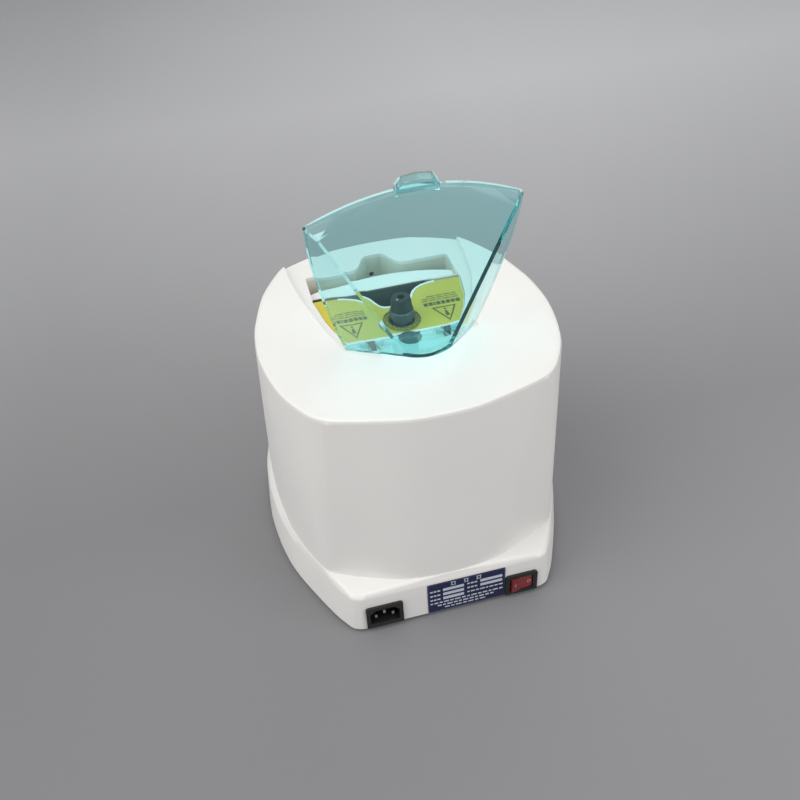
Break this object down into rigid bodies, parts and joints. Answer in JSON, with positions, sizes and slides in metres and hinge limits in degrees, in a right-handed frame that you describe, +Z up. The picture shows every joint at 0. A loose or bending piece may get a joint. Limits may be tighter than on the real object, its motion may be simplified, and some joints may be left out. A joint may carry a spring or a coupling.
{
  "type": "enclosed vortex mixer",
  "caption": "Enclosed bench vortex mixer: a hinged, fan-shaped clear lid covers a well whose orbiting drive head shakes a capsule or a small tube.",
  "frame": {"origin": "middle of the bottom of the whole part, on the bench, with the lid open as stored", "axes": "+Z up, -Y towards the control panel (front), +Y towards the rear face with the mains inlet, +X to the side the inlet is on"},
  "size_m": [0.2608, 0.2901, 0.3665],
  "materials": {
    "housing": "satin",
    "plinth": "satin",
    "well": "matte",
    "label": "satin",
    "black": "matte",
    "head": "matte",
    "rubber": "matte",
    "lid": "gloss",
    "steel": "satin",
    "castalu": "satin",
    "copper": "satin",
    "pcb": "matte",
    "panel": "satin",
    "display": "gloss",
    "button": "satin",
    "rocker": "gloss",
    "plate": "satin",
    "bezel": "satin"
  },
  "bodies": {
    "base": {"base_plinth": "plinth", "upper_housing": "housing", "front_well": "well", "well_bridge": "housing", "head_plate": "housing", "caution_label": "label", "gaiter": "rubber", "plug_cap": "head", "hinge_blades": "head", "hinge_pins": "steel", "stator_ring": "copper", "motor_can": "castalu", "motor_base": "castalu", "motor_bell": "castalu", "motor_bearings": "steel", "motor_bracket": "castalu", "isolators": "rubber", "chassis_plate": "castalu", "pillars": "castalu", "power_board": "pcb", "power_parts": "black", "control_bezel": "bezel", "control_panel": "panel", "display_window": "display", "control_board": "pcb", "board_parts": "black", "inlet_body": "black", "inlet_pins": "steel", "switch_frame": "black", "rating_plate": "plate", "lid_sensor": "black", "feet": "rubber", "foot_screws": "steel", "plate_screws": "steel", "chassis_screws": "steel", "pillar_screws": "steel", "motor_screws": "steel"},
    "lid": {"lid_shell": "lid"},
    "rotor": {"motor_shaft": "steel", "rotor_core": "steel", "crank": "steel", "counterweight": "steel"},
    "head": {"drive_head": "head", "head_bearing": "steel"},
    "key_left": {"button_left": "button"},
    "key_mid": {"button_mid": "button"},
    "key_right": {"button_right": "button"},
    "rocker": {"switch_rocker": "rocker"}
  },
  "joints": [
    {"name": "lid_hinge", "type": "hinge", "parent": "base", "child": "lid", "pos_m": [0, 0.0427, 0.2129], "axis": [1, 0, 0], "range_deg": [0, 106]},
    {"name": "drive_spin", "type": "hinge", "parent": "base", "child": "rotor", "pos_m": [0, 0.013, 0.11], "axis": [0, 0, 1], "continuous": true},
    {"name": "head_orbit", "type": "hinge", "parent": "rotor", "child": "head", "pos_m": [-0.0012, 0.0114, 0.17], "axis": [0, 0, 1], "continuous": true},
    {"name": "power_rock", "type": "hinge", "parent": "base", "child": "rocker", "pos_m": [-0.059, 0.1405, 0.0163], "axis": [0, 0, -1], "range_deg": [0, 20]},
    {"name": "key_left_push", "type": "slide", "parent": "base", "child": "key_left", "axis": [0, 0.9914, -0.1305], "range_m": [0, 0.001], "stiffness_N_per_m": 400},
    {"name": "key_mid_push", "type": "slide", "parent": "base", "child": "key_mid", "axis": [0, 0.9914, -0.1305], "range_m": [0, 0.001], "stiffness_N_per_m": 400},
    {"name": "key_right_push", "type": "slide", "parent": "base", "child": "key_right", "axis": [0, 0.9914, -0.1305], "range_m": [0, 0.001], "stiffness_N_per_m": 400}
  ],
  "couplings": [
    {"joint": "head_orbit", "follows": "drive_spin", "ratio": -1}
  ]
}
